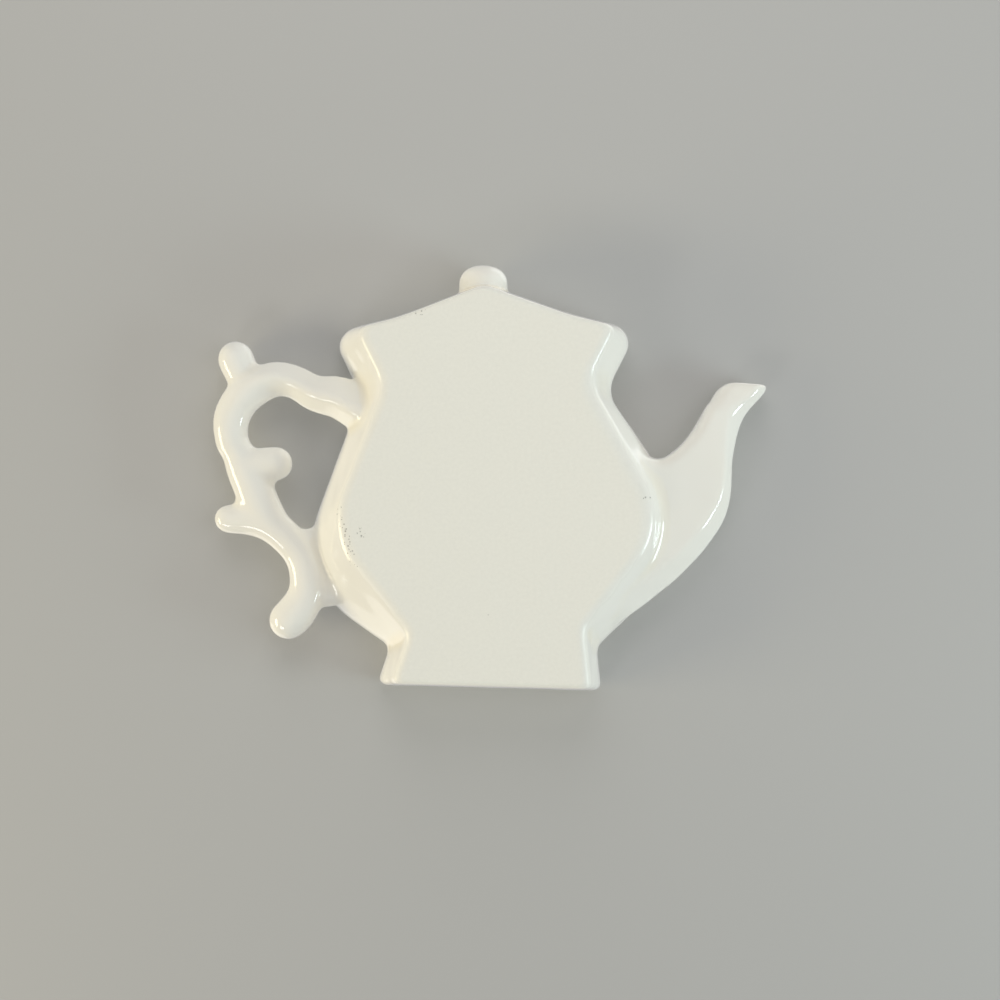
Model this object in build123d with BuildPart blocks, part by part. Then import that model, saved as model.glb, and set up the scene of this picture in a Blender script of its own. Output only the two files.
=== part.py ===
"""Tea bag rest in the outline of a teapot.

A shallow porcelain dish stands on its flat base with the hollow upwards. X points to the handle,
Y to the knob on the lid and Z up. The origin is on the base, in the middle of the dish's length.
All sizes are millimetres.
"""

import os

from build123d import *

# Rim outline: lengths along Y, from the foot's edge up to the lid's ridge
foot_height = 8.5
body_height = 61.7
collar_height = 12.9
lid_height = 10.2
roof_bend_rise = 3.9
belly_handle_rise = 23.5
belly_spout_rise = 30.2

# Rim outline: distances of its corners from the middle, before the corners are rounded
roof_bend_x = 17.7
eave_x = 31.9
neck_x = 25.8
belly_handle_x = 41.0
belly_spout_x = 46.5
waist_x = 21.7
foot_x = 23.4

# Rim outline: how far each corner is rounded
ridge_round = 6.0
roof_bend_round = 60.0
eave_round = 2.8
neck_round = 6.0
belly_handle_round = 20.0
belly_spout_round = 26.0
waist_round = 2.2
foot_round = 1.8
least_round = 1.6

# Outside of the wall: how far the base stands inside the rim along each stretch of the outline
roof_flare = 2.2
eave_flare = 6.0
flank_handle_flare = 5.6
flank_spout_flare = 3.2
belly_handle_flare = 6.4
belly_spout_flare = 5.1
foot_side_flare = 3.0
foot_flare = 1.8

# Outside of the wall: heights, the share of the flare that is left at two of them, and the rounding
# of its edges, which takes at most a share of the rim's width
rim_height = 14.0
bilge_height = 3.5
bilge_share = 0.64
shoulder_height = 8.0
shoulder_share = 0.18
base_round = 0.5
rim_round = 1.2
rim_round_limit = 0.33

# Hollow for the bag
rim_width = 3.8
floor_thickness = 4.0
cove_height = 3.0
cove_run = 0.8
floor_run = 2.6

# Handle: a round branch a little under the rim. Its bends are given outwards from the belly's corner
# on the handle side. The bow's top and the elbow are given upwards from there too, and what hangs on
# them by how far it lies above or below them.
stem_radius = 3.7
handle_drop = 0.3
bow_top_out = 5.3
bow_top_rise = 43.1
bow_top_bend = 6.5
bow_shoulder_out = 13.0
bow_shoulder_fall = 5.2
bow_shoulder_bend = 7.0
bow_side_out = 13.2
bow_side_fall = 9.4
bow_side_bend = 9.0
elbow_out = -3.8
elbow_rise = 0.7
elbow_bend = 9.0
tail_out = 0.9
tail_fall = 9.2
tail_radius = 4.1
tail_length = 4.0

# Handle: its two roots, which widen into the dish's wall
root_radius = 4.8
upper_root_length = 14.0
upper_root_depth = 5.0
upper_root_drop = 4.2
lower_root_length = 8.0

# Handle: stubs of the branch. The thumb rest starts below the bow's top, the inner twig below its side
# and the outer twig above the elbow, and each rises or falls to the middle of its round end.
stub_base_radius = 3.3
thumb_base_out = 8.6
thumb_base_fall = 3.0
thumb_tip_out = 11.0
thumb_rise = 5.5
thumb_radius = 3.85
inner_base_out = 9.0
inner_base_fall = 5.0
inner_tip_out = 3.6
inner_rise = 0.5
inner_radius = 3.25
outer_base_out = 6.0
outer_base_rise = 12.8
outer_tip_out = 12.6
outer_fall = 1.1
outer_radius = 2.9

# Spout: points of its upper and lower edges from inside the dish to the mouth, measured from the
# belly's corner on the spout side
spout_upper_edge = [
    Vector(16.5, 19.4),
    Vector(11.3, 17.8),
    Vector(6.7, 19.0),
    Vector(3.3, 23.0),
    Vector(0.5, 27.8),
    Vector(-1.1, 30.4),
    Vector(-3.1, 32.4),
]
spout_lower_edge = [
    Vector(26.5, -18.6),
    Vector(17.0, -15.4),
    Vector(4.3, -5.0),
    Vector(-3.3, 5.8),
    Vector(-5.4, 17.8),
    Vector(-7.4, 25.4),
    Vector(-11.4, 31.0),
]
spout_root_thickness = 10.0
spout_mouth_thickness = 5.8
spout_mouth_round = 1.2
spout_edge_share = 0.48
spout_drop = 0.4

# Knob on the ridge: a flattened ball, sunk a little into the lid
knob_radius = 5.15
knob_rise = 3.7
knob_crown = 0.7
knob_round = 3.3
knob_sink = 4.6
knob_drop = 0.3

# Places that follow from the sizes above
dish_length = body_height + collar_height + lid_height
foot_y = -dish_length / 2
waist_y = foot_y + foot_height
neck_y = foot_y + body_height
eave_y = neck_y + collar_height
roof_bend_y = eave_y + roof_bend_rise
ridge_y = eave_y + lid_height
belly_handle = Vector(belly_handle_x, foot_y + belly_handle_rise)
belly_spout = Vector(-belly_spout_x, foot_y + belly_spout_rise)
rim_edge_round = min(rim_round, rim_width * rim_round_limit)
handle_z = rim_height - handle_drop - root_radius
knob_z = rim_height - knob_drop - knob_radius

# Corners of the rim outline, clockwise from the ridge, and the rounding of each
rim_corners = [
    Vector(0, ridge_y),
    Vector(roof_bend_x, roof_bend_y),
    Vector(eave_x, eave_y),
    Vector(neck_x, neck_y),
    belly_handle,
    Vector(waist_x, waist_y),
    Vector(foot_x, foot_y),
    Vector(-foot_x, foot_y),
    Vector(-waist_x, waist_y),
    belly_spout,
    Vector(-neck_x, neck_y),
    Vector(-eave_x, eave_y),
    Vector(-roof_bend_x, roof_bend_y),
]
rim_roundings = [
    ridge_round,
    roof_bend_round,
    eave_round,
    neck_round,
    belly_handle_round,
    waist_round,
    foot_round,
    foot_round,
    waist_round,
    belly_spout_round,
    neck_round,
    eave_round,
    roof_bend_round,
]
# Flare of the stretch that follows each corner
base_flares = [
    roof_flare,
    roof_flare,
    eave_flare,
    flank_handle_flare,
    belly_handle_flare,
    foot_side_flare,
    foot_flare,
    foot_side_flare,
    belly_spout_flare,
    flank_spout_flare,
    eave_flare,
    roof_flare,
    roof_flare,
]


def inset_outline(insets):
    """Corners and roundings of the rim outline with each stretch moved inwards by its own inset.

    A corner moves to where its two moved stretches meet. Outer corners lose their inset from the
    rounding, and inner corners keep the rounding that they have.
    """
    corners = []
    roundings = []
    for i, corner in enumerate(rim_corners):
        into = (corner - rim_corners[i - 1]).normalized()
        out = (rim_corners[(i + 1) % len(rim_corners)] - corner).normalized()
        inset_into = insets[i - 1]
        inset_out = insets[i]
        turn = into.X * out.Y - into.Y * out.X
        corners.append(corner + (out * inset_into - into * inset_out) * (-1 / turn))
        rounding = rim_roundings[i]
        if turn < 0:
            rounding = max(rounding - (inset_into + inset_out) / 2, least_round)
        roundings.append(rounding)
    return corners, roundings


def outline_sketch(height, insets):
    """Closed sketch of the inset outline at a height above the base."""
    corners, roundings = inset_outline(insets)
    with BuildSketch(Plane.XY.offset(height)) as sketch:
        with BuildLine():
            FilletPolyline(*corners, radius=roundings, close=True)
        make_face()
    return sketch.sketch


def even_inset(amount):
    """The same inset for every stretch of the outline."""
    return [amount] * len(rim_corners)


def flare_share(share):
    """A share of the base's flare for every stretch of the outline."""
    return [flare * share for flare in base_flares]


# Outer form of the dish, without its hollow, which also trims what is stuck to the wall
with BuildPart() as dish_form:
    loft(
        [
            outline_sketch(0, flare_share(1)),
            outline_sketch(bilge_height, flare_share(bilge_share)),
            outline_sketch(shoulder_height, flare_share(shoulder_share)),
            outline_sketch(rim_height, even_inset(0)),
        ]
    )
    fillet(dish_form.edges().group_by(Axis.Z)[0], radius=base_round)
    fillet(dish_form.edges().group_by(Axis.Z)[-1], radius=rim_edge_round)

# Dish: the form with the hollow taken out and the rim's inner edge rounded
with BuildPart() as dish_body:
    add(dish_form.part)
    loft(
        [
            outline_sketch(floor_thickness, even_inset(rim_width + floor_run)),
            outline_sketch(floor_thickness + cove_height, even_inset(rim_width + cove_run)),
            outline_sketch(rim_height, even_inset(rim_width)),
        ],
        mode=Mode.SUBTRACT,
    )
    rim_face = dish_body.faces().filter_by(GeomType.PLANE).sort_by(Axis.Z)[-1]
    fillet(rim_face.inner_wires()[0].edges(), radius=rim_edge_round)

dish_body.part.label = "dish_body"


def handle_point(out, rise):
    """Point on the branch's middle line, outwards and upwards from the belly's corner."""
    return Vector(belly_handle.X + out, belly_handle.Y + rise, handle_z)


def branch(start, end, start_radius, end_radius):
    """Round stub that tapers from one point to another and ends in a half ball."""
    along = end - start
    with BuildSketch(Plane(origin=start, x_dir=along, z_dir=(0, 0, 1))) as profile:
        with BuildLine():
            Polyline((0, 0), (0, start_radius), (along.length, end_radius))
            CenterArc((along.length, 0), end_radius, 0, 90)
            Line((along.length + end_radius, 0), (0, 0))
        make_face()
    revolve(profile.sketch, axis=Axis(start, along))


bow_shoulder_rise = bow_top_rise - bow_shoulder_fall
bow_side_rise = bow_shoulder_rise - bow_side_fall
thumb_base_height = bow_top_rise - thumb_base_fall
inner_base_height = bow_side_rise - inner_base_fall
outer_base_height = elbow_rise + outer_base_rise
bow_top = handle_point(bow_top_out, bow_top_rise)
elbow = handle_point(elbow_out, elbow_rise)
tail_end = handle_point(tail_out, elbow_rise - tail_fall)
tail_start = tail_end + (elbow - tail_end).normalized() * tail_length
upper_root = Vector(neck_x - upper_root_depth, neck_y - upper_root_drop, handle_z)
upper_root_end = upper_root + (bow_top - upper_root).normalized() * upper_root_length
lower_root_end = elbow - Vector(lower_root_length, 0, 0)
thumb_base = handle_point(thumb_base_out, thumb_base_height)
thumb_tip = handle_point(thumb_tip_out, thumb_base_height + thumb_rise)
inner_base = handle_point(inner_base_out, inner_base_height)
inner_tip = handle_point(inner_tip_out, inner_base_height + inner_rise)
outer_base = handle_point(outer_base_out, outer_base_height)
outer_tip = handle_point(outer_tip_out, outer_base_height - outer_fall)

# Handle: a stem swept along the bow, its tail, roots and stubs, trimmed to the dish's wall
with BuildPart() as handle:
    with BuildLine() as stem:
        FilletPolyline(
            upper_root,
            bow_top,
            handle_point(bow_shoulder_out, bow_shoulder_rise),
            handle_point(bow_side_out, bow_side_rise),
            elbow,
            tail_start,
            radius=[bow_top_bend, bow_shoulder_bend, bow_side_bend, elbow_bend],
        )
    with BuildSketch(Plane(origin=stem.line @ 0, z_dir=stem.line % 0)):
        Circle(stem_radius)
    sweep()
    branch(tail_start, tail_end, stem_radius, tail_radius)
    branch(upper_root_end, upper_root, stub_base_radius, root_radius)
    branch(elbow, lower_root_end, stub_base_radius, root_radius)
    branch(thumb_base, thumb_tip, stub_base_radius, thumb_radius)
    branch(inner_base, inner_tip, stub_base_radius, inner_radius)
    branch(outer_base, outer_tip, stub_base_radius, outer_radius)
    add(dish_form.part, mode=Mode.SUBTRACT)

handle.part.label = "handle"

# Spout: round-edged sections from edge to edge, thinning towards the mouth, trimmed to the dish's wall
with BuildPart() as spout:
    last = len(spout_upper_edge) - 1
    for i, (upper, lower) in enumerate(zip(spout_upper_edge, spout_lower_edge)):
        across = lower - upper
        thickness = spout_root_thickness + (spout_mouth_thickness - spout_root_thickness) * i / last
        middle = belly_spout + (upper + lower) / 2 + Vector(0, 0, rim_height - spout_drop - thickness / 2)
        with BuildSketch(Plane(origin=middle, x_dir=across, z_dir=across.cross(Vector(0, 0, 1)))):
            RectangleRounded(across.length, thickness, spout_edge_share * thickness)
    loft()
    fillet(spout.faces().sort_by(Axis.Y)[-1].edges(), radius=spout_mouth_round)
    add(dish_form.part, mode=Mode.SUBTRACT)

spout.part.label = "spout"

# Knob: a round-edged profile turned about the ridge's middle line, trimmed to the lid
with BuildPart() as lid_knob:
    knob_top = ridge_y + knob_rise
    with BuildSketch(Plane.XY.offset(knob_z)):
        with BuildLine():
            FilletPolyline(
                (0, ridge_y - knob_sink),
                (knob_radius, ridge_y - knob_sink),
                (knob_radius, knob_top - knob_crown),
                (0, knob_top),
                radius=[knob_round, knob_round],
            )
            Line((0, knob_top), (0, ridge_y - knob_sink))
        make_face()
    revolve(axis=Axis((0, 0, knob_z), (0, 1, 0)))
    add(dish_form.part, mode=Mode.SUBTRACT)

lid_knob.part.label = "lid_knob"

os.makedirs("parts", exist_ok=True)
for piece in (dish_body, handle, spout, lid_knob):
    export_step(piece.part, f"parts/{piece.part.label}.step")
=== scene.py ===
"""Looks of a porcelain tea bag rest in the outline of a teapot.

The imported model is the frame: X points to the handle, Y to the knob on the lid and Z up out of the
hollow, and the flat base stands on Z = 0. Four clay forms are moulded as surfaces, stuck together with
soft joints, parted again into the four pieces, and glazed.
"""

import bpy
import numpy as np
from bpy.props import FloatProperty, FloatVectorProperty, IntProperty, PointerProperty
from mathutils import Matrix, Vector


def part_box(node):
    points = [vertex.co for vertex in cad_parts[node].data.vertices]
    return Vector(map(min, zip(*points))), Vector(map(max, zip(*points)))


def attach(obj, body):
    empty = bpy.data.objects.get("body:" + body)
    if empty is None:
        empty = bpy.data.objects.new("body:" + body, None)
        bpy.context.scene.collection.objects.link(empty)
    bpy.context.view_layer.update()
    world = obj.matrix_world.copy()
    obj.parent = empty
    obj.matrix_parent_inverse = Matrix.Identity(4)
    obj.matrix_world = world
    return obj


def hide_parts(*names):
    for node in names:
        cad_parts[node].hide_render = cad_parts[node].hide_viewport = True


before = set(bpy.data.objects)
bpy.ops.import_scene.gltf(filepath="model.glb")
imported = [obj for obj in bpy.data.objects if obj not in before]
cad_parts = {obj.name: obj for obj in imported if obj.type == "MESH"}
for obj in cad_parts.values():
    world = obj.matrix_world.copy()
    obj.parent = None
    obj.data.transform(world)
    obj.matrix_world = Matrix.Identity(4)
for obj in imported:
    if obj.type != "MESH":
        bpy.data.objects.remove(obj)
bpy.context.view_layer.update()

bl_info = {
    "name": "Teapot tea bag rest",
    "version": (1, 0, 0),
    "blender": (4, 5, 0),
    "location": "View3D > Sidebar > Tea bag rest",
    "description": "Moulds and glazes the pieces of a porcelain tea bag rest around its packed model",
    "category": "Object",
}

MM = 0.001
DISH_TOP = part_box("dish_body")[1].z
HANDLE_LOW, HANDLE_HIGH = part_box("handle")
KNOB_LOW, KNOB_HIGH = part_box("lid_knob")

# Clay forms in the order of joining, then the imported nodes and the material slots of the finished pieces
FORMS = ("dish_clay", "handle_clay", "spout_clay", "knob_clay")
NODES = {
    "porcelain_dish": "dish_body",
    "branch_handle": "handle",
    "swan_neck_spout": "spout",
    "lid_button": "lid_knob",
}
SLOTS = {
    "porcelain_dish": "dish_porcelain",
    "branch_handle": "handle_porcelain",
    "swan_neck_spout": "spout_porcelain",
    "lid_button": "knob_porcelain",
}

# Outline of the rim in millimetres, clockwise from the ridge as seen from above. Each row is a corner:
# x, y, its rounding at the rim and at the base, two sizes of the stretch that follows, and how far the
# corner leans in x and in y on its way down to the base. The two sizes are the flare, which is how far
# the base stands inside the rim there, and the width of the rounding along the base.
OUTLINE = np.array(
    (
        (0.0, 42.2, 6.0, 5.8, 1.55, 0.3, 0, 0),  # ridge
        (17.7, 35.65, 60.0, 58.0, 1.55, 0.3, 0, 0),  # bend of the roof
        (32.5, 32.15, 4.0, 2.2, 6.0, 1.3, 0, 0),  # eave
        (26.4, 19.3, 6.0, 8.7, 5.3, 1.3, 0, 0),  # neck
        (41.2, -19.5, 20.0, 16.0, 6.2, 1.3, -2.8, 9.5),  # belly
        (21.0, -33.7, 2.0, 3.4, 3.5, 1.0, 0, 0),  # waist
        (23.8, -41.5, 1.2, 1.0, 1.6, 0.4, 0, 0),  # foot
        (-23.5, -43.4, 1.2, 1.0, 2.9, 1.0, 0, 0),  # foot, spout side from here on
        (-22.7, -34.4, 2.0, 3.4, 5.9, 1.3, 0, 0),  # waist
        (-46.6, -12.2, 26.0, 14.0, 3.3, 3.0, 5.3, 1.3),  # belly
        (-25.5, 19.3, 6.0, 6.7, 5.1, 1.3, 0, 0),  # neck
        (-32.2, 31.95, 4.0, 1.4, 1.55, 0.3, 0, 0),  # eave
        (-17.7, 35.7, 60.0, 58.0, 1.55, 0.3, 0, 0),  # bend of the roof
    )
)
CORNERS = OUTLINE[:, :2]
RIM_ROUND, BASE_ROUND, FLARE, EDGE_WIDTH = OUTLINE[:, 2:6].T
BASE_LEAN = OUTLINE[:, 6:]
# How far the waist stands from the middle: the joints of handle and spout lie further out
WAIST_REACH = CORNERS[5, 0]
# Points on a rounded corner and on a straight run, and the share of a run that its two arcs may take
ARC_POINTS = 12
RUN_POINTS = 10
ARC_ROOM = 0.98
# Rings that close the base and the floor towards their middles, as shares of the outermost
FACE_SHARES = (0.15, 0.5, 0.8)

# Middle line of the branch handle in millimetres: x, y and the half width across it, from inside the
# neck's wall round the bow to the tail
STEM = np.array(
    (
        (26.0, 16.4, 5.2),
        (30.5, 18.6, 4.6),
        (35.4, 19.6, 4.0),
        (40.0, 22.1, 3.7),
        (44.2, 22.6, 3.9),
        (48.0, 21.0, 4.0),
        (51.1, 18.3, 3.9),
        (53.1, 14.4, 3.75),
        (53.0, 10.0, 3.5),
        (51.7, 7.4, 3.4),
        (50.4, 3.9, 3.85),
        (48.7, 0.2, 4.15),
        (47.2, -3.4, 4.1),
        (44.4, -7.9, 3.6),
        (41.8, -10.4, 3.5),
        (38.9, -14.2, 3.5),
        (37.7, -18.4, 3.75),
        (38.0, -22.4, 3.85),
        (39.9, -25.7, 4.15),
        (41.7, -27.5, 4.15),
    )
)
# Places in that line between which the upper bar's flat faces fade into a round branch
BAR_END = 4.2
BAR_FADED = 5.6
# Stubs of the branch and the web at its lower root: points of x, y and half width in millimetres from
# inside to the round end, how many millimetres higher than the stem they lie, and their height against
# their width
STUBS = {
    "thumb_rest": (((49.6, 21.0, 3.4), (52.1, 27.0, 3.85)), 0.9, 0.97),
    "inner_twig": (((50.0, 4.6, 3.6), (43.9, 5.1, 3.6)), 0.0, 0.97),
    "outer_twig": (
        (
            (38.4, -16.0, 2.5),
            (40.8, -11.7, 3.4),
            (44.4, -8.4, 3.5),
            (48.7, -6.6, 3.4),
            (53.9, -6.3, 3.05),
        ),
        0.0,
        0.97,
    ),
    "lower_root": (((36.6, -11.6, 3.4), (33.4, -21.0, 4.2)), 1.0, 0.65),
}

# Edges of the spout in millimetres, from inside the belly to the mouth: x and y of the upper edge, then
# of the lower edge
SPOUT_EDGES = np.array(
    (
        (-30.0, 7.0, -22.3, -32.0),
        (-35.4, 4.8, -30.2, -27.1),
        (-39.5, 6.8, -42.0, -17.7),
        (-43.2, 10.8, -50.0, -6.9),
        (-46.0, 15.6, -51.7, 5.6),
        (-47.1, 16.8, -53.9, 13.0),
        (-47.9, 18.2, -58.1, 18.0),
    )
)
# Roundings of the spout's section in millimetres: lower rim, lower side, slope to face, face to upper
# side, and upper rim
SPOUT_ROUNDS = (1.9, 2.5, 2.0, 2.6, 1.9)
# Share of the mouth's last ring that is left where it is closed
MOUTH_LEFT = 0.6

# Steps from point to point along a branch and along the spout's edges
BRANCH_STEPS = 6
SPOUT_STEPS = 8
# Rings in the half ball at a branch's end, and points round a branch or the knob
BALL_RINGS = 8
RING_POINTS = 48
# How far the power of a squircle falls from a round branch to one with flat faces, and the knob's power
FLATTENING = 0.65
KNOB_POWER = 0.9

# Rounds over which a bend of the surface is spread, and the bends in millimetres that count as one where
# joints are wiped and where the colour turns creamy and darker: partly glaze that gathers, partly painted
# warm shade in creases
BEND_ROUNDS = 12
JOINT_BEND = 0.008
POOL_AND_SHADE_BEND = 0.012
# Angle in radians from which an edge shows, and how far from the middle a parted piece is no longer the
# knob, in millimetres
SHARP_ANGLE = 0.9
KNOB_REACH = 10
# Lengths in millimetres of the slow waves of a hand-finished surface along x, y and z, one row for each
# wave, the height over which they come in, and the share of that height that stays flat below
WAVE_LENGTHS = np.array(((13, 19, 11), (-9, 12, -7), (17, -8, 9)))
WAVE_RISE = 3
WAVE_FLAT = 0.3

# Sizes in metres of what the glaze shows: clouds, slow waves, fine peel, the ragged edge to the ground
# base and the grain of that base
CLOUD_SIZE = 18 * MM
SWELL_SIZE = 9 * MM
PEEL_SIZE = 2.4 * MM
RAGGED_SIZE = 4 * MM
GRAIN_SIZE = 0.7 * MM
# Iron spots: size of the mosaic's cells and radius of a spot in metres, and how rare a spot is
IRON_SPOTS = (4 * MM, 0.3 * MM, 0.97)
# Kiln dust: size of the cells and radius of a speck in metres
DUST_SPECKS = (0.5 * MM, 0.17 * MM)
# Patches of kiln dust on the base, in millimetres and degrees: the middle, the half axes and the turn
DUST = (
    ((28.3, -11.2, 0), (0.9, 10.0, 3), -14),  # trail along the edge on the handle's side
    ((25.2, -9.2, 0), (1.5, 1.2, 3), 30),  # beside that trail
    ((-32.6, -3.3, 0), (1.2, 0.9, 3), 0),  # at the spout's root
    ((13.0, 35.0, 0), (1.6, 0.6, 3), -20),  # under the lid
)
# Specks as shares of their radius: the smallest, how much more the largest is, and the solid core
SPECK_LEAST = 0.4
SPECK_SPREAD = 1.2
SPECK_CORE = 0.3

# Lamps: place and size in metres, power in watts and colour. The first three stand low and light the
# wall and the undersides, and the windows light the hollow.
LAMPS = {
    "warm_side": ((0.47, -0.12, -0.12), (0.24, 0.14), 1.15, (1.0, 0.87, 0.56)),
    "cool_side": ((-0.47, -0.14, -0.13), (0.20, 0.09), 0.95, (0.80, 0.98, 1.0)),
    "low_front": ((0.29, -0.33, -0.24), (0.18, 0.08), 0.35, (1.0, 0.99, 0.96)),
    "window_back": ((-0.33, 0.37, 0.26), (0.50, 0.34), 0.5, (0.96, 0.98, 1.0)),
    "window_front": ((0.37, -0.33, 0.26), (0.50, 0.34), 0.5, (1.0, 0.98, 0.95)),
}
# Washes, which light evenly and don't show in the glaze: place in metres and power in watts
WASHES = {
    "base_wash": ((-0.20, 0.0, -0.30), 0.29),
    "ridge_wash": ((0.02, 0.32, -0.20), 0.55),
    "front_wash": ((-0.30, -0.34, 0.40), 0.80),
    "back_wash": ((0.34, 0.26, 0.42), 0.80),
}
WASH_SIZE = (0.30, 0.30)
WASH_COLOUR = (1.0, 0.98, 0.95)
# Floor in metres: half its width, its distance from the object, and where it passes into the backdrop
FLOOR_REACH = 4.0
FLOOR_GAP = 0.1 * MM
HAZE_START = 0.15
HAZE_END = 0.5
BACKDROP_LEVEL = 0.85
# Camera under the base: its x and y, the height of the object's widest part, its roll in radians, and
# how near it starts to see
CAMERA_PLACE = (-2.70 * MM, -3.15 * MM)
WIDEST_HEIGHT = 11 * MM
CAMERA_ROLL = np.arctan2(0.01355, 0.99991)
NEAR_CLIP = 0.01


def unit(vectors):
    """Vectors along the last axis, brought to length one."""
    return vectors / np.linalg.norm(vectors, axis=-1, keepdims=True)


def cross(a, b):
    """Turn from one plane vector to another: positive where the way bends to the left."""
    return a[..., 0] * b[..., 1] - a[..., 1] * b[..., 0]


def inset_corners(corners, insets):
    """Corners of a clockwise outline whose stretches moved inwards, each by its own inset.

    A corner goes to where its two moved stretches meet. For unit vectors i into and o out of it, and
    insets a of the stretch before and b of the one after, it moves by (b i - a o) / (i x o). insets has
    one row for each ring.
    """
    into = unit(corners - np.roll(corners, 1, axis=-2))
    out = np.roll(into, -1, axis=-2)
    before = np.roll(insets, 1, axis=-1)
    shift = into * insets[..., None] - out * before[..., None]
    return corners + shift / cross(into, out)[..., None]


def rounded_rings(corners, roundings):
    """Closed rings of points round outlines with rounded corners.

    At each corner an arc touches both stretches: its middle lies on the bisector, at the rounding
    divided by the sine of half the angle, and it starts at the rounding divided by the tangent. Where a
    stretch is too short for its two arcs, both shrink to fit. Straight runs join the arcs.
    """
    back = unit(np.roll(corners, 1, axis=-2) - corners)
    ahead = unit(np.roll(corners, -1, axis=-2) - corners)
    length = np.linalg.norm(np.roll(corners, -1, axis=-2) - corners, axis=-1)
    half = np.arccos(np.clip((back * ahead).sum(-1), -1, 1)) / 2
    reach = roundings / np.tan(half)
    room = ARC_ROOM * length / (reach + np.roll(reach, -1, axis=-1))
    fit = np.minimum(1, np.minimum(room, np.roll(room, 1, axis=-1)))
    radius = roundings * fit
    middle = corners + unit(back + ahead) * (radius / np.sin(half))[..., None]
    start = corners + back * (reach * fit)[..., None] - middle
    turn = -np.sign(cross(back, ahead)) * (np.pi - 2 * half)
    angle = turn[..., None] * np.linspace(0, 1, ARC_POINTS)
    spoke_x = start[..., None, 0] * np.cos(angle) - start[..., None, 1] * np.sin(angle)
    spoke_y = start[..., None, 0] * np.sin(angle) + start[..., None, 1] * np.cos(angle)
    arcs = middle[..., None, :] + np.stack((spoke_x, spoke_y), axis=-1)
    run = np.roll(arcs[..., 0, :], -1, axis=-2) - arcs[..., -1, :]
    share = np.linspace(0, 1, RUN_POINTS + 2)[1:-1, None]
    runs = arcs[..., -1:, :] + run[..., None, :] * share
    rings = np.concatenate((arcs, runs), axis=-2)
    return rings.reshape(*rings.shape[:-3], -1, 2)


def smooth_line(points, steps):
    """Curve through the points. Each span is a cubic with, at each end, half the slope between the
    neighbours on both sides, and takes the given number of steps."""
    padded = np.vstack((2 * points[0] - points[1], points, 2 * points[-1] - points[-2]))
    a, b, c, d = (padded[i : len(padded) - 3 + i, None] for i in range(4))
    t = np.linspace(0, 1, steps, endpoint=False)[None, :, None]
    cubic = 2 * b + (c - a) * t + (2 * a - 5 * b + 4 * c - d) * t**2 + (3 * b - a - 3 * c + d) * t**3
    return np.vstack((0.5 * cubic.reshape(-1, points.shape[1]), points[-1:]))


def closed_surface(name, rings):
    """Mesh object from rings of points, in millimetres, that run clockwise round the way from the first
    ring to the last. Quads join neighbouring rings, and a fan to its middle closes each end ring."""
    rows, columns, _ = rings.shape
    points = np.vstack((rings.reshape(-1, 3), rings[0].mean(0), rings[-1].mean(0))) * MM
    index = np.arange(rows * columns).reshape(rows, columns)
    beside = np.roll(index, -1, axis=1)
    quads = np.stack((index[:-1], index[1:], beside[1:], beside[:-1]), axis=-1).reshape(-1, 4)
    first = np.full(columns, rows * columns)
    first_fan = np.stack((first, index[0], beside[0]), axis=-1)
    last_fan = np.stack((first + 1, beside[-1], index[-1]), axis=-1)
    mesh = bpy.data.meshes.new(name)
    faces = quads.tolist() + first_fan.tolist() + last_fan.tolist()
    mesh.from_pydata(points.tolist(), [], faces)
    mesh.validate()
    piece = bpy.data.objects.new(name, mesh)
    bpy.context.scene.collection.objects.link(piece)
    return piece


def squircle(angle, power):
    """Point on a closed curve at an angle: the signed powers of its cosine and sine. Power one gives a
    circle, and smaller powers a square with rounder or sharper corners."""
    across = np.sign(np.cos(angle)) * np.abs(np.cos(angle)) ** power
    above = np.sign(np.sin(angle)) * np.abs(np.sin(angle)) ** power
    return across, above


def branch_rings(line, height, depth, faces=0.0, twist=0.0):
    """Rings of a branch carried along a line of x, y and half width, with a half ball at each end.

    A ring is a squircle, turned by the twist and brought to the half width across the line, and to that
    times the depth above and below it. Faces go from zero, a round branch, to one, a branch with four
    flat faces.
    """
    along = unit(np.gradient(line[:, :2], axis=0))
    ball = np.linspace(0, np.pi / 2, BALL_RINGS + 1)[:-1]
    start = line[:1, :2] - along[:1] * (line[0, 2] * np.sin(ball[::-1]))[:, None]
    end = line[-1:, :2] + along[-1:] * (line[-1, 2] * np.sin(ball))[:, None]
    middle = np.vstack((start, line[1:-1, :2], end))
    half = np.hstack((line[0, 2] * np.cos(ball[::-1]), line[1:-1, 2], line[-1, 2] * np.cos(ball)))
    row = np.pad(np.arange(1, len(line) - 1), BALL_RINGS, constant_values=(0, len(line) - 1))
    heading = along[row]
    faces, twist = (np.broadcast_to(value, len(line))[row, None] for value in (faces, twist))
    angle = np.linspace(0, 2 * np.pi, RING_POINTS, endpoint=False)
    a, b = squircle(angle, 1 - FLATTENING * faces)
    across = a * np.cos(twist) - b * np.sin(twist)
    above = a * np.sin(twist) + b * np.cos(twist)
    across = across / np.abs(across).max(1, keepdims=True) * half[:, None]
    above = above / np.abs(above).max(1, keepdims=True) * half[:, None] * depth
    left = np.stack((-heading[:, 1], heading[:, 0]), axis=-1)
    plan = middle[:, None] + left[:, None] * across[..., None]
    return np.concatenate((plan, (height + above)[..., None]), axis=-1)


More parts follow.
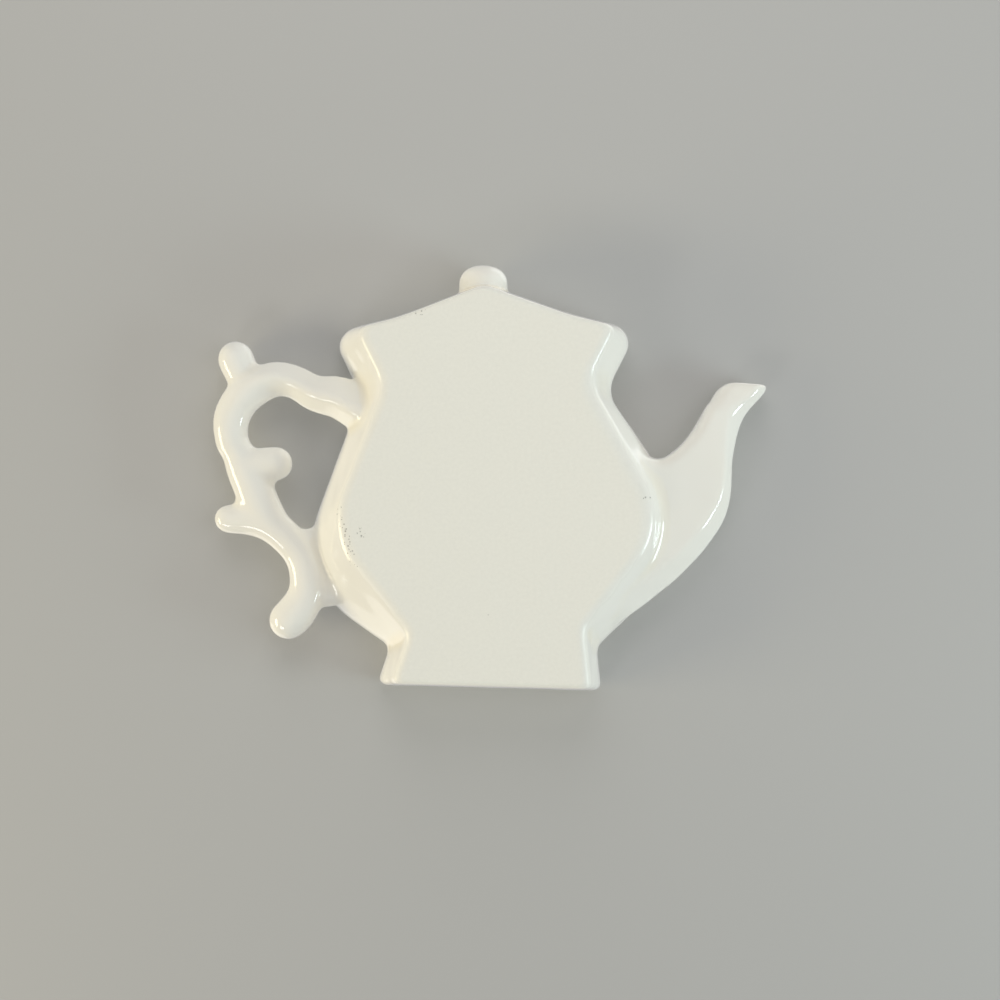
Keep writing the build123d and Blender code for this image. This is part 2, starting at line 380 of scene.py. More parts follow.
class DishSizes(bpy.types.PropertyGroup):
    """Sizes of the dish's wall, rim and hollow."""

    rim_height: FloatProperty(
        name="Rim height",
        description="From the base to the top of the rim",
        default=DISH_TOP,
        unit="LENGTH",
    )
    rim_width: FloatProperty(
        name="Rim width",
        description="Thickness of the wall at the rim",
        default=3.8 * MM,
        unit="LENGTH",
    )
    flare_height: FloatProperty(
        name="Flare height",
        description="Where the straight flare would reach the rim",
        default=10 * MM,
        unit="LENGTH",
    )
    flare_ease: FloatProperty(
        name="Flare ease",
        description="How far from there the wall bends upright",
        default=3 * MM,
        unit="LENGTH",
    )
    base_edge: FloatProperty(
        name="Base edge",
        description="Height of the rounding along the base",
        default=1.3 * MM,
        unit="LENGTH",
    )
    floor_height: FloatProperty(
        name="Floor height",
        description="From the base to the hollow's floor",
        default=4 * MM,
        unit="LENGTH",
    )
    lean: FloatProperty(
        name="Lean",
        description="How far the hollow narrows from the rim to the floor",
        default=1.4 * MM,
        unit="LENGTH",
    )
    cove: FloatProperty(
        name="Cove",
        description="Rounding between the hollow's wall and floor",
        default=2.4 * MM,
        unit="LENGTH",
    )
    least_round: FloatProperty(
        name="Least rounding",
        description="Smallest corner in the hollow",
        default=1.8 * MM,
        unit="LENGTH",
    )
    follow: FloatProperty(
        name="Follow",
        description="How far the hollow follows the wall's lean",
        default=0.6,
        subtype="FACTOR",
    )


class BranchSizes(bpy.types.PropertyGroup):
    """Sizes of the handle, spout and knob that the outlines don't give."""

    stem_height: FloatProperty(
        name="Stem height",
        description="Middle of the handle above the base",
        default=(HANDLE_LOW.z + HANDLE_HIGH.z) / 2,
        unit="LENGTH",
    )
    stem_depth: FloatProperty(
        name="Stem depth",
        description="Height of the branch against its width",
        default=0.97,
        subtype="FACTOR",
    )
    bar_faces: FloatProperty(
        name="Bar faces",
        description="How flat the upper bar's faces are",
        default=1.0,
        subtype="FACTOR",
    )
    bar_twist: FloatProperty(
        name="Bar twist",
        description="Turn of the bar's faces at the neck",
        default=np.radians(30),
        subtype="ANGLE",
    )
    bow_twist: FloatProperty(
        name="Bow twist",
        description="Turn of the bar's faces at the bow",
        default=np.radians(58),
        subtype="ANGLE",
    )
    spout_top: FloatProperty(
        name="Spout top",
        description="Upper face of the spout above the base",
        default=13.6 * MM,
        unit="LENGTH",
    )
    spout_root: FloatProperty(
        name="Spout root",
        description="Thickness of the spout in the belly",
        default=10 * MM,
        unit="LENGTH",
    )
    spout_mouth: FloatProperty(
        name="Spout mouth",
        description="Thickness of the spout at its mouth",
        default=5.8 * MM,
        unit="LENGTH",
    )
    root_slope: FloatProperty(
        name="Root slope",
        description="Width of the spout's lower slope at its root",
        default=6.5 * MM,
        unit="LENGTH",
    )
    mouth_slope: FloatProperty(
        name="Mouth slope",
        description="Width of that slope at the mouth",
        default=2.6 * MM,
        unit="LENGTH",
    )
    mouth_bulge: FloatProperty(
        name="Mouth bulge",
        description="How far the closed mouth bulges",
        default=3.1 * MM,
        unit="LENGTH",
    )
    knob_width: FloatProperty(
        name="Knob width",
        description="Across the knob",
        default=KNOB_HIGH.x - KNOB_LOW.x,
        unit="LENGTH",
    )
    knob_length: FloatProperty(
        name="Knob length",
        description="Along the knob, from tip to hidden end",
        default=8 * MM,
        unit="LENGTH",
    )
    knob_tip: FloatProperty(
        name="Knob tip",
        description="Tip of the knob from the middle",
        default=KNOB_HIGH.y - 0.4 * MM,
        unit="LENGTH",
    )
    knob_shift: FloatProperty(
        name="Knob shift",
        description="How far the knob sits off the ridge's middle",
        default=0.15 * MM,
        unit="LENGTH",
    )


class JointSizes(bpy.types.PropertyGroup):
    """Sizes of the soft joints between the clay forms."""

    voxel: FloatProperty(
        name="Grain",
        description="Size of the faces after joining",
        default=0.42 * MM,
        unit="LENGTH",
    )
    handle_rounds: IntProperty(
        name="Handle rounds",
        description="Rounds of smoothing of the branch and its stubs",
        default=8,
    )
    rounds: IntProperty(name="Rounds", description="Rounds of smoothing of the joined clay", default=8)
    joint_rounds: IntProperty(
        name="Joint rounds",
        description="Further rounds where the surface bends inwards",
        default=30,
    )
    trim: FloatProperty(
        name="Trim",
        description="How far inside the rim the stuck-on forms end",
        default=3.4 * MM,
        unit="LENGTH",
    )
    wander: FloatProperty(
        name="Wander",
        description="How far the hand-finished surface wanders",
        default=0.05 * MM,
        unit="LENGTH",
    )
    parting: FloatProperty(
        name="Parting",
        description="How far outside the rim the pieces part",
        default=0.7 * MM,
        unit="LENGTH",
    )


class GlazeLooks(bpy.types.PropertyGroup):
    """Colours of the porcelain."""

    glaze: FloatVectorProperty(
        name="Glaze",
        description="Colour of the glazed clay",
        default=(0.80, 0.79, 0.728),
        subtype="COLOR",
    )
    # The pool colour is partly the tone of glaze that gathers and partly painted warm shade in creases and
    # hollows
    pool: FloatVectorProperty(
        name="Pool",
        description="Colour where glaze gathers",
        default=(0.79, 0.75, 0.63),
        subtype="COLOR",
    )
    ground: FloatVectorProperty(
        name="Ground base",
        description="Colour of the matt base",
        default=(0.78, 0.775, 0.705),
        subtype="COLOR",
    )
    speck: FloatVectorProperty(
        name="Specks",
        description="Colour of iron specks",
        default=(0.10, 0.09, 0.075),
        subtype="COLOR",
    )


class StageLooks(bpy.types.PropertyGroup):
    """Floor, light and camera."""

    floor: FloatVectorProperty(
        name="Floor", description="Colour of the floor", default=(0.43, 0.43, 0.42), subtype="COLOR"
    )
    ambient: FloatProperty(name="Ambient", description="Light from all round", default=0.41)
    camera_reach: FloatProperty(
        name="Camera reach",
        description="From the camera to the widest part",
        default=0.30,
        unit="LENGTH",
    )
    frame_width: FloatProperty(
        name="Frame width",
        description="What the camera sees across there",
        default=0.21,
        unit="LENGTH",
    )


class TeaBagRest(bpy.types.PropertyGroup):
    """All settings of the tea bag rest."""

    dish: PointerProperty(type=DishSizes)
    branch: PointerProperty(type=BranchSizes)
    joint: PointerProperty(type=JointSizes)
    glaze: PointerProperty(type=GlazeLooks)
    stage: PointerProperty(type=StageLooks)


def millimetres(group, *names):
    """Settings of a group, as numbers of millimetres."""
    return [getattr(group, name) / MM for name in names]


def finished(piece, *modifiers):
    """Gives a piece its modifiers, one after another, and keeps their result as its mesh."""
    for kind, values in modifiers:
        modifier = piece.modifiers.new(kind.title(), kind)
        for name, value in values.items():
            setattr(modifier, name, value)
    bpy.context.view_layer.update()
    shape = piece.evaluated_get(bpy.context.evaluated_depsgraph_get())
    mesh = bpy.data.meshes.new_from_object(shape)
    piece.modifiers.clear()
    piece.data = mesh
    return piece


def cut(operation, block):
    """Modifier that cuts a piece at a block."""
    return "BOOLEAN", {"operation": operation, "object": block, "solver": "MANIFOLD"}


def flare_left(height, top, ease):
    """Share of the flare left at a height: straight, then a parabola to none."""
    straight = 1 - height / top
    eased = np.clip(top + ease - height, 0, None) ** 2 / (4 * ease * top)
    return np.where(height < top - ease, straight, eased)


def leaning_corners(share):
    """Corners of the outline in rings, each with its share of their lean at the base."""
    return CORNERS + np.reshape(share, (-1, 1, 1)) * BASE_LEAN


def at_heights(plan, height):
    """Rings in space from rings in plan, each at its own height."""
    level = np.broadcast_to(np.reshape(height, (-1, 1, 1)), (*plan.shape[:2], 1))
    return np.concatenate((plan, level), axis=-1)


def outline_block(name, height, inset, share):
    """Block over the outline, at each height moved inwards by its inset and with its share of the lean
    at the base. Lengths are in millimetres."""
    insets = np.repeat(np.reshape(inset, (-1, 1)), len(OUTLINE), axis=1)
    plan = rounded_rings(inset_corners(leaning_corners(share), insets), RIM_ROUND[None])
    return closed_surface(name, at_heights(plan, height))


def trimming_block(dish, trim):
    """Block over the hollow, from its floor to above the rim, whose sides lean as the hollow's wall does
    and at the rim stand inside the outline by the trim."""
    rim, floor, lean = millimetres(dish, "rim_height", "floor_height", "lean")
    flare_top, ease = millimetres(dish, "flare_height", "flare_ease")
    height = np.linspace(floor, rim, 9)
    inset = trim + lean * (rim - height) / (rim - floor)
    share = dish.follow * flare_left(height, flare_top, ease)
    height[-1] += rim
    return outline_block("trimming_block", height, inset, share)


class ClayMesh:
    """Points, normals and edges of a mesh as arrays, in millimetres."""

    def __init__(self, mesh):
        self.mesh = mesh
        self.points = self.read("co") / MM
        ends = np.empty(len(mesh.edges) * 2, int)
        mesh.edges.foreach_get("vertices", ends)
        self.ends = ends.reshape(-1, 2).T
        self.degree = np.maximum(np.bincount(ends, minlength=len(mesh.vertices)), 1)

    def read(self, name):
        values = np.empty(len(self.mesh.vertices) * 3)
        self.mesh.vertices.foreach_get(name, values)
        return values.reshape(-1, 3)

    def write(self):
        self.mesh.vertices.foreach_set("co", (self.points * MM).ravel())
        self.mesh.update()

    def means(self, values):
        """Mean of the values at each point's neighbours."""
        a, b = self.ends
        count = len(self.degree)
        return (np.bincount(a, values[b], count) + np.bincount(b, values[a], count)) / self.degree

    def smooth(self, rounds, share=1.0):
        """Each round moves every point, times its share, half way to the middle of its neighbours."""
        for _ in range(rounds):
            way = np.stack([self.means(axis) - axis for axis in self.points.T], axis=-1)
            self.points += 0.5 * way * np.reshape(share, (-1, 1))
        self.write()

    def inward_bend(self, full):
        """How far the surface bends inwards: the way from each point to the middle of its neighbours,
        along its normal, spread over the surface and divided by the amount that counts as one."""
        way = np.stack([self.means(axis) - axis for axis in self.points.T], axis=-1)
        bend = (way * self.read("normal")).sum(-1)
        for _ in range(BEND_ROUNDS):
            bend = 0.5 * bend + 0.5 * self.means(bend)
        return np.clip(bend / full, 0, 1)


def join_forms(forms, voxel, rounds):
    """Joins overlapping closed forms into one skin and smooths it."""
    chosen = {"active_object": forms[0], "object": forms[0], "selected_editable_objects": forms}
    with bpy.context.temp_override(**chosen):
        bpy.ops.object.join()
    finished(forms[0], ("REMESH", {"mode": "VOXEL", "voxel_size": voxel, "use_smooth_shade": True}))
    clay = ClayMesh(forms[0].data)
    clay.smooth(rounds)
    return clay


def dish_profile(sizes):
    """Section of the dish from the base's edge up the wall, over the rim and down to the floor.

    The base's edge is a parabola that touches the base and the wall, the rim is a half circle, the
    hollow's wall leans, and the cove is a parabola that touches it and the floor. Gives each ring's
    height, its inset from the rim's outline, its share of the base edge's width, and whether it lies
    past the rim's crest, inside the hollow. Lengths are in millimetres.
    """
    rim, width, edge = millimetres(sizes, "rim_height", "rim_width", "base_edge")
    floor, lean, cove = millimetres(sizes, "floor_height", "lean", "cove")
    bend = np.linspace(0, 1, 8)
    over = np.linspace(0, np.pi, 17)[1:]
    spring = rim - width / 2
    edge_share = (1 - bend) ** 2
    edge_height = edge * bend**2
    wall_height = np.linspace(edge, spring, 16)[1:]
    over_inset = width / 2 * (1 - np.cos(over))
    over_height = spring + width / 2 * np.sin(over)
    inner_height = np.linspace(spring, floor + cove, 8)[1:-1]
    inner_inset = width + lean * (spring - inner_height) / (spring - floor)
    cove_start = width + lean * (spring - floor - cove) / (spring - floor)
    cove_inset = (
        cove_start * (1 - bend) ** 2
        + 2 * (width + lean) * bend * (1 - bend)
        + (width + lean + cove) * bend**2
    )
    cove_height = floor + cove * (1 - bend) ** 2
    height = np.hstack((edge_height, wall_height, over_height, inner_height, cove_height))
    inset = np.hstack((0 * edge_share, 0 * wall_height, over_inset, inner_inset, cove_inset))
    edge_share = np.pad(edge_share, (0, len(height) - len(edge_share)))
    inside = np.arange(len(height)) >= len(edge_height) + len(wall_height) + len(over_height) // 2
    return height, inset, edge_share, inside


class MouldDish(bpy.types.Operator):
    """Mould the dish: rings of the outline from the base's middle up the wall, over the rim and down"""

    bl_idname = "tea_rest.mould_dish"
    bl_label = "Mould dish"

    def execute(self, context):
        sizes = context.scene.tea_bag_rest.dish
        flare_top, ease, least = millimetres(sizes, "flare_height", "flare_ease", "least_round")
        height, inset, edge_share, inside = dish_profile(sizes)
        left = flare_left(height, flare_top, ease)
        share = np.where(inside, 0, left)
        insets = inset[:, None] + share[:, None] * FLARE + edge_share[:, None] * EDGE_WIDTH
        # Through the wall, corners that stick out get tighter by the inset and the others wider
        into = unit(CORNERS - np.roll(CORNERS, 1, axis=0))
        outer = np.where(cross(into, np.roll(into, -1, axis=0)) < 0, -1, 1)
        rounding = RIM_ROUND + share[:, None] * (BASE_ROUND - RIM_ROUND) + outer * inset[:, None]
        rounding = np.maximum(rounding, np.where(inside[:, None], least, np.minimum(least, BASE_ROUND)))
        leaning = leaning_corners(np.where(inside, sizes.follow * left, left))
        plan = rounded_rings(inset_corners(leaning, insets), rounding)
        shrink = np.reshape(FACE_SHARES, (-1, 1, 1))
        plan = np.concatenate((plan[:1] * shrink, plan, plan[-1:] * shrink[::-1]))
        closed_surface("dish_clay", at_heights(plan, np.pad(height, len(FACE_SHARES), mode="edge")))
        return {"FINISHED"}


class MouldHandle(bpy.types.Operator):
    """Mould the handle: a branch with two roots, a thumb rest, two twigs and a tail"""

    bl_idname = "tea_rest.mould_handle"
    bl_label = "Mould handle"

    def execute(self, context):
        sizes = context.scene.tea_bag_rest.branch
        (height,) = millimetres(sizes, "stem_height")
        line = smooth_line(STEM, BRANCH_STEPS)
        place = np.linspace(0, len(STEM) - 1, len(line))
        faces = np.clip((BAR_FADED - place) / (BAR_FADED - BAR_END), 0, 1) * sizes.bar_faces
        twist = np.interp(place, (0, BAR_FADED), (sizes.bar_twist, sizes.bow_twist))
        rings = branch_rings(line, height, sizes.stem_depth, faces, twist)
        forms = [closed_surface("handle_clay", rings)]
        for name, (points, rise, depth) in STUBS.items():
            rings = branch_rings(smooth_line(np.array(points), BRANCH_STEPS), height + rise, depth)
            forms.append(closed_surface(name, rings))
        joint = context.scene.tea_bag_rest.joint
        join_forms(forms, joint.voxel, joint.handle_rounds)
        return {"FINISHED"}


class MouldSpout(bpy.types.Operator):
    """Mould the spout: rounded sections from its lower to its upper edge, thinning towards the mouth"""

    bl_idname = "tea_rest.mould_spout"
    bl_label = "Mould spout"

    def execute(self, context):
        sizes = context.scene.tea_bag_rest.branch
        top, root, mouth = millimetres(sizes, "spout_top", "spout_root", "spout_mouth")
        root_slope, mouth_slope, bulge = millimetres(sizes, "root_slope", "mouth_slope", "mouth_bulge")
        edges = smooth_line(SPOUT_EDGES, SPOUT_STEPS)
        upper, lower = edges[:, None, :2], edges[:, None, 2:]
        width = np.linalg.norm(upper - lower, axis=-1)
        place = np.linspace(0, 1, len(edges))[:, None]
        under = top - (root + (mouth - root) * place)
        slope = root_slope + (mouth_slope - root_slope) * place
        # Section from the lower edge: three fifths of the way down the side, along a slope to the flat
        # face, and up the other side
        side = np.hstack((0 * width, 0 * width, slope, width, width))
        level = np.hstack((0 * under + top, (2 * top + 3 * under) / 5, under, under, 0 * under + top))
        section = rounded_rings(np.stack((side, level), axis=-1), np.array(SPOUT_ROUNDS))
        plan = lower + (upper - lower) * (section[..., :1] / width[..., None])
        rings = np.concatenate((plan, section[..., 1:]), axis=-1)
        # The mouth: the last ring runs on along the edges and shrinks, by a quarter circle
        ways = unit((edges[-1] - edges[-2]).reshape(2, 2))
        ahead = ways[1] + (ways[0] - ways[1]) * (section[-1, :, :1] / width[-1])
        ahead = np.pad(ahead, ((0, 0), (0, 1)))
        turn = np.linspace(0, np.pi / 2, 8)[1:-1, None, None]
        middle = rings[-1].mean(0)
        shrink = MOUTH_LEFT + (1 - MOUTH_LEFT) * np.cos(turn)
        last = middle + (rings[-1] - middle) * shrink + ahead * bulge * np.sin(turn)
        closed_surface("spout_clay", np.concatenate((rings, last)))
        return {"FINISHED"}


class MouldKnob(bpy.types.Operator):
    """Mould the knob: a flattened ball whose half axes are half its width and half its length"""

    bl_idname = "tea_rest.mould_knob"
    bl_label = "Mould knob"

    def execute(self, context):
        sizes = context.scene.tea_bag_rest.branch
        width, length = millimetres(sizes, "knob_width", "knob_length")
        tip, shift = millimetres(sizes, "knob_tip", "knob_shift")
        height = (KNOB_LOW.z + KNOB_HIGH.z) / 2 / MM
        down = np.linspace(0, np.pi, 26)[1:-1, None]
        around = np.linspace(0, -2 * np.pi, RING_POINTS, endpoint=False)
        along, across = squircle(down, KNOB_POWER)
        x = shift + width / 2 * across * np.cos(around)
        z = height - width / 2 * across * np.sin(around)
        y = tip - length / 2 + length / 2 * along + 0 * around
        closed_surface("knob_clay", np.stack((x, y, z), axis=-1))
        return {"FINISHED"}


def hand_waves(points):
    """Slow waves of a hand-finished surface, between minus and plus one: the mean of three sines of the
    place, in three slanting directions. They fade out on the base, which was ground flat."""
    ways = 2 * np.pi * (1 / WAVE_LENGTHS)
    return np.sin(points @ ways.T).mean(-1) * np.clip(points[:, 2] / WAVE_RISE - WAVE_FLAT, 0, 1)


def part_at(whole, block):
    """Parts a piece at a block: it keeps what lies inside, and a copy of it gets what lies outside."""
    outside = whole.copy()
    bpy.context.scene.collection.objects.link(outside)
    finished(whole, cut("INTERSECT", block))
    finished(outside, cut("DIFFERENCE", block))
    return outside


def loose_parts(piece):
    """Splits a piece into its unconnected parts."""
    for other in bpy.context.selected_objects:
        other.select_set(False)
    piece.select_set(True)
    bpy.context.view_layer.objects.active = piece
    bpy.ops.object.mode_set(mode="EDIT")
    bpy.ops.mesh.select_all(action="SELECT")
    bpy.ops.mesh.separate(type="LOOSE")
    bpy.ops.object.mode_set(mode="OBJECT")
    return bpy.context.selected_objects


class JoinAndPart(bpy.types.Operator):
    """Stick the clay forms together with soft joints, then part them just outside the rim"""

    bl_idname = "tea_rest.join_and_part"
    bl_label = "Join and part"

    def execute(self, context):
        dish = context.scene.tea_bag_rest.dish
        sizes = context.scene.tea_bag_rest.joint
        trim, gap, wander = millimetres(sizes, "trim", "parting", "wander")
        whole, *stuck_on = (bpy.data.objects[name] for name in FORMS)
        block = trimming_block(dish, trim)
        for form in stuck_on:
            finished(form, cut("DIFFERENCE", block))
        bpy.data.objects.remove(block)
        clay = join_forms([whole, *stuck_on], sizes.voxel, sizes.rounds)
        # The joints of handle and spout are wiped smooth further
        beside = np.abs(clay.points[:, 0]) > WAIST_REACH
        clay.smooth(sizes.joint_rounds, clay.inward_bend(JOINT_BEND) * beside)
        clay.points += clay.read("normal") * (wander * hand_waves(clay.points))[:, None]
        clay.write()

        (rim,) = millimetres(dish, "rim_height")
        block = outline_block("parting_block", (-rim, 2 * rim), (-gap, -gap), (0, 0))
        outside = part_at(whole, block)
        bpy.data.objects.remove(block)
        whole.name = "porcelain_dish"
        for piece in loose_parts(outside):
            side = np.mean(piece.bound_box, axis=0)[0] / MM
            if abs(side) <= KNOB_REACH:
                piece.name = "lid_button"
            else:
                piece.name = "branch_handle" if side > 0 else "swan_neck_spout"
        for name in NODES:
            piece = bpy.data.objects.get(name)
            if piece is None:
                raise RuntimeError(f"parting left no piece named {name}")
            piece.data.name = name
            piece.data.set_sharp_from_angle(angle=SHARP_ANGLE)
            # Mask of how far the surface bends inwards, which tints it with the pool colour: partly glaze
            # that gathers, partly painted warm shade in creases
            pool = piece.data.attributes.new("glaze_pool_and_crease_shade", "FLOAT", "POINT")
            pool_and_shade_mask = ClayMesh(piece.data).inward_bend(POOL_AND_SHADE_BEND)
            pool.data.foreach_set("value", pool_and_shade_mask.astype(np.float32))
        return {"FINISHED"}


class NodeDesk:
    """Adds and links the nodes of one material or world."""

    def __init__(self, owner):
        owner.use_nodes = True
        self.tree = owner.node_tree
        self.tree.nodes.clear()

    def add(self, kind, inputs=None, **settings):
        """Node of a kind, whose inputs are linked to sockets or set to values."""
        node = self.tree.nodes.new("ShaderNode" + kind)
        for name, value in settings.items():
            setattr(node, name, value)
        for name, value in (inputs or {}).items():
            if isinstance(value, bpy.types.NodeSocket):
                self.tree.links.new(value, node.inputs[name])
            else:
                node.inputs[name].default_value = value
        return node

    def math(self, operation, *values):
        return self.add("Math", dict(enumerate(values)), operation=operation).outputs["Value"]

    def noise(self, place, size, detail=2.0):
        """Cloudy pattern whose lumps are about the given size in metres."""
        inputs = {"Vector": place, "Scale": 1 / size, "Detail": detail}
        return self.add("TexNoise", inputs).outputs["Fac"]

    def ramp(self, value, low, high, at_low, at_high):
        """Value taken from one range to another, and held at its ends."""
        ends = {"From Min": low, "From Max": high, "To Min": at_low, "To Max": at_high}
        return self.add("MapRange", {"Value": value, **ends}).outputs["Result"]

    def blend(self, share, first, second):
        """Colour from the first to the second by a share."""
        colours = [c if isinstance(c, bpy.types.NodeSocket) else (*c, 1) for c in (first, second)]
        inputs = {"Factor": share, "A": colours[0], "B": colours[1]}
        return self.add("Mix", inputs, data_type="RGBA").outputs["Result"]

    def specks(self, place, cell, radius, rarity):
        """One where a speck is. Cells of a random mosaic that draw more than the rarity have one, of a
        size drawn about the radius."""
        cells = self.add("TexVoronoi", {"Vector": place, "Scale": 1 / cell})
        draws = self.add("SeparateColor", {"Color": cells.outputs["Color"]}).outputs
        size = self.math("MULTIPLY_ADD", draws["Green"], SPECK_SPREAD, SPECK_LEAST)
        away = self.math("DIVIDE", cells.outputs["Distance"], size)
        dot = self.ramp(away, SPECK_CORE * radius / cell, radius / cell, 1.0, 0.0)
        return self.math("MULTIPLY", self.math("GREATER_THAN", draws["Red"], rarity), dot)


def porcelain(name, looks, ground):
    """Glazed porcelain: milky colour that turns creamy and darker where the surface bends inwards, partly
    glaze that gathers and partly painted warm shade in creases, with random clouds of the same tone, a few
    iron specks, a gloss that wanders a little, and the slow waves and fine peel of a dipped glaze. With a
    ground base, what stands on the table is matt and finely grained, its edge is ragged, and kiln dust
    lies on it in patches of specks."""
    material = bpy.data.materials.new(name)
    desk = NodeDesk(material)
    place = desk.add("TexCoord").outputs["Object"]
    # Pool colour where the surface bends inwards, partly glaze that gathers and partly painted warm shade
    # in creases; random clouds add a little of the same tone
    pool = desk.add("Attribute", attribute_name="glaze_pool_and_crease_shade").outputs["Fac"]
    cloud = desk.noise(place, CLOUD_SIZE, 3.0)
    pool_shade_and_cloud = desk.math("MAXIMUM", pool, desk.ramp(cloud, 0.3, 0.7, 0.0, 0.18))
    colour = desk.blend(pool_shade_and_cloud, looks.glaze, looks.pool)
    gloss = desk.ramp(cloud, 0.3, 0.7, 0.05, 0.10)
    swell = {"Height": desk.noise(place, SWELL_SIZE, 1.0), "Strength": 0.35, "Distance": 0.4 * MM}
    waves = desk.add("Bump", swell).outputs["Normal"]
    skin = {"Height": desk.noise(place, PEEL_SIZE), "Strength": 0.08, "Distance": 0.1 * MM}
    peel = desk.add("Bump", {**skin, "Normal": waves}).outputs["Normal"]
    if ground:
        height = desk.add("SeparateXYZ", {"Vector": place}).outputs["Z"]
        ragged = desk.math("MULTIPLY_ADD", desk.noise(place, RAGGED_SIZE), 1.0 * MM, height)
        matt = desk.ramp(ragged, 0.6 * MM, 1.5 * MM, 1.0, 0.0)
        grain = desk.ramp(desk.noise(place, GRAIN_SIZE, 3.0), 0.2, 0.8, 0.0, 1.0)
        bisque = desk.blend(grain, looks.ground, [0.95 * share for share in looks.ground])
        colour = desk.blend(matt, colour, bisque)
        gloss = desk.add("Mix", {"Factor": matt, "A": gloss, "B": 0.5}).outputs["Result"]
        for middle, reach, turn in DUST:
            patch = {
                "Vector": place,
                "Location": [v * MM for v in middle],
                "Rotation": (0, 0, np.radians(turn)),
                "Scale": [v * MM for v in reach],
            }
            inside = desk.add("Mapping", patch, vector_type="TEXTURE").outputs["Vector"]
            away = desk.add("VectorMath", {0: inside}, operation="LENGTH").outputs["Value"]
            dust = desk.specks(place, *DUST_SPECKS, desk.ramp(away, 0.6, 1.1, 0.25, 1.0))
            colour = desk.blend(desk.math("MULTIPLY", dust, 0.7), colour, looks.speck)
    spots = desk.specks(place, *IRON_SPOTS)
    colour = desk.blend(desk.math("MULTIPLY", spots, 0.5), colour, looks.speck)
    fired = {"Base Color": colour, "Roughness": gloss, "IOR": 1.52, "Normal": peel}
    shader = desk.add("BsdfPrincipled", fired).outputs["BSDF"]
    desk.add("OutputMaterial", {"Surface": shader})
    return material


class GlazePieces(bpy.types.Operator):
    """Glaze the four pieces, and leave the dish's base ground and matt"""

    bl_idname = "tea_rest.glaze_pieces"
    bl_label = "Glaze pieces"

    def execute(self, context):
        looks = context.scene.tea_bag_rest.glaze
        for name, node in NODES.items():
            piece = bpy.data.objects[name]
            piece.data.materials.clear()
            glazed = porcelain(SLOTS[name], looks, ground=name == "porcelain_dish")
            piece.data.materials.append(glazed)
            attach(piece, "root")
            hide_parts(node)
        return {"FINISHED"}


def stage_plane(name, height, faces_down, colour):
    """Wide plane that only the camera sees, and only from the side that it faces, so that it takes the
    object's shadow and hides no lamp from the object's other side. Away from the object it passes into
    the even tone of the backdrop."""
    corners = np.array(((-1, -1), (1, -1), (1, 1), (-1, 1))) * FLOOR_REACH
    if faces_down:
        corners = corners[::-1]
    mesh = bpy.data.meshes.new(name)
    mesh.from_pydata([(x, y, height) for x, y in corners], [], [(0, 1, 2, 3)])
    plane = bpy.data.objects.new(name, mesh)
    bpy.context.scene.collection.objects.link(plane)
    material = bpy.data.materials.new(name)
    desk = NodeDesk(material)
    behind = desk.add("NewGeometry").outputs["Backfacing"]
    seen = desk.add("LightPath").outputs["Is Camera Ray"]
    shown = desk.math("GREATER_THAN", desk.math("SUBTRACT", seen, behind), 0.5)
    clear = desk.add("BsdfTransparent").outputs["BSDF"]
    paper = desk.add("BsdfDiffuse", {"Color": (*colour, 1)}).outputs["BSDF"]
    far = desk.add("Emission", {"Color": (*colour, 1), "Strength": BACKDROP_LEVEL}).outputs["Emission"]
    place = desk.add("TexCoord").outputs["Object"]
    away = desk.add("VectorMath", {0: place}, operation="LENGTH").outputs["Value"]
    haze = desk.ramp(away, HAZE_START, HAZE_END, 0.0, 1.0)
    paper = desk.add("MixShader", {"Fac": haze, 1: paper, 2: far}).outputs["Shader"]
    mixed = desk.add("MixShader", {"Fac": shown, 1: clear, 2: paper}).outputs["Shader"]
    desk.add("OutputMaterial", {"Surface": mixed})
    mesh.materials.append(material)


def lamp(name, place, size, power, colour, shows=True):
    """Soft oblong lamp at a place in metres, turned to the object. It may show in the glaze."""
    light = bpy.data.lights.new(name, "AREA")
    light.shape = "RECTANGLE"
    light.size, light.size_y = size
    light.energy = power
    light.color = colour
    holder = bpy.data.objects.new(name, light)
    turn = Vector(place).to_track_quat("Z", "Y").to_matrix().to_4x4()
    holder.matrix_world = Matrix.Translation(place) @ turn
    holder.visible_camera = False
    holder.visible_glossy = shows
    bpy.context.scene.collection.objects.link(holder)


def studio_world(looks):
    """World that lights evenly from all round, and that the camera sees as the backdrop."""
    world = bpy.data.worlds.new("studio")
    desk = NodeDesk(world)
    seen = desk.add("LightPath").outputs["Is Camera Ray"]
    ambient = desk.add("Background", {"Color": (1, 1, 1, 1), "Strength": looks.ambient})
    backdrop = desk.add("Background", {"Color": (*looks.floor, 1), "Strength": BACKDROP_LEVEL})
    shades = {1: ambient.outputs["Background"], 2: backdrop.outputs["Background"]}
    mixed = desk.add("MixShader", {"Fac": seen, **shades}).outputs["Shader"]
    desk.add("OutputWorld", {"Surface": mixed})
    return world


def camera_below(looks):
    """Camera that looks straight up at the base, with -X to its right and +Y up, turned by the roll."""
    data = bpy.data.cameras.new("camera")
    data.lens = data.sensor_width * looks.camera_reach / looks.frame_width
    data.clip_start = NEAR_CLIP
    camera = bpy.data.objects.new("camera", data)
    right = Vector((-np.cos(CAMERA_ROLL), -np.sin(CAMERA_ROLL), 0))
    up = Vector((-np.sin(CAMERA_ROLL), np.cos(CAMERA_ROLL), 0))
    turn = Matrix((right, up, (0, 0, -1))).transposed().to_4x4()
    place = (*CAMERA_PLACE, WIDEST_HEIGHT - looks.camera_reach)
    camera.matrix_world = Matrix.Translation(place) @ turn
    bpy.context.scene.collection.objects.link(camera)
    return camera


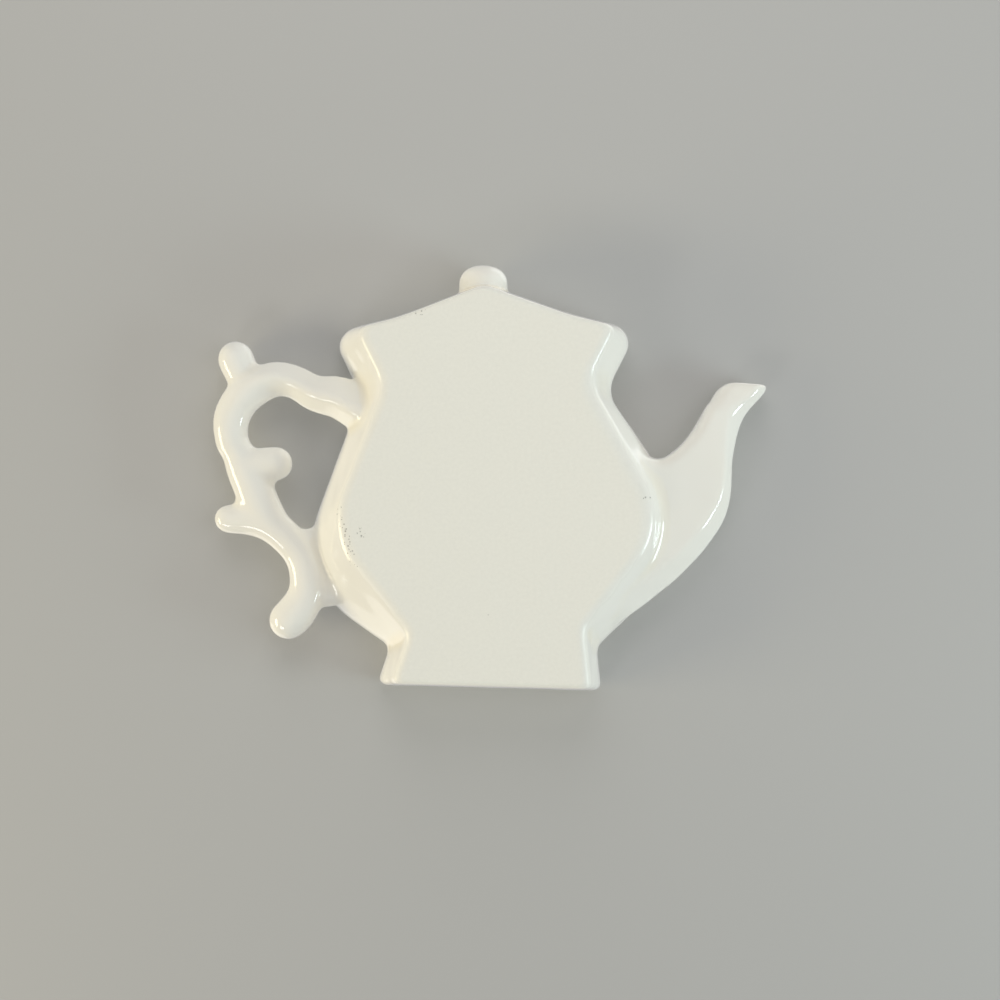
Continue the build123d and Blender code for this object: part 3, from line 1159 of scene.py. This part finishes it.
class SetStage(bpy.types.Operator):
    """Set the stage: pale floor, soft lamps above and below, and the camera under the base"""

    bl_idname = "tea_rest.set_stage"
    bl_label = "Set stage"

    def execute(self, context):
        scene = context.scene
        looks = scene.tea_bag_rest.stage
        rim = scene.tea_bag_rest.dish.rim_height
        scene.view_settings.view_transform = "Standard"
        stage_plane("floor", -FLOOR_GAP, False, looks.floor)
        stage_plane("turned_floor", rim + FLOOR_GAP, True, looks.floor)
        for name, (place, size, power, colour) in LAMPS.items():
            lamp(name, place, size, power, colour)
        for name, (place, power) in WASHES.items():
            lamp(name, place, WASH_SIZE, power, WASH_COLOUR, shows=False)
        scene.world = studio_world(looks)
        scene.camera = camera_below(looks)
        return {"FINISHED"}


class TeaBagRestPanel(bpy.types.Panel):
    """Lists the steps and settings of the tea bag rest"""

    bl_idname = "VIEW3D_PT_tea_bag_rest"
    bl_label = "Tea bag rest"
    bl_space_type = "VIEW_3D"
    bl_region_type = "UI"
    bl_category = "Tea bag rest"

    def draw(self, context):
        settings = context.scene.tea_bag_rest
        for group in (settings.dish, settings.branch, settings.joint, settings.glaze, settings.stage):
            box = self.layout.box()
            for name in group.__annotations__:
                box.prop(group, name)
        for step in STEPS:
            self.layout.operator(step.bl_idname)


STEPS = (MouldDish, MouldHandle, MouldSpout, MouldKnob, JoinAndPart, GlazePieces, SetStage)
GROUPS = (DishSizes, BranchSizes, JointSizes, GlazeLooks, StageLooks, TeaBagRest)
CLASSES = (*GROUPS, *STEPS, TeaBagRestPanel)


def register():
    for cls in CLASSES:
        bpy.utils.register_class(cls)
    bpy.types.Scene.tea_bag_rest = PointerProperty(type=TeaBagRest)


def unregister():
    del bpy.types.Scene.tea_bag_rest
    for cls in reversed(CLASSES):
        bpy.utils.unregister_class(cls)


def main():
    """Builds the pieces and the stage."""
    register()
    bpy.ops.tea_rest.mould_dish()
    bpy.ops.tea_rest.mould_handle()
    bpy.ops.tea_rest.mould_spout()
    bpy.ops.tea_rest.mould_knob()
    bpy.ops.tea_rest.join_and_part()
    bpy.ops.tea_rest.glaze_pieces()
    bpy.ops.tea_rest.set_stage()


if __name__ == "__main__":
    main()
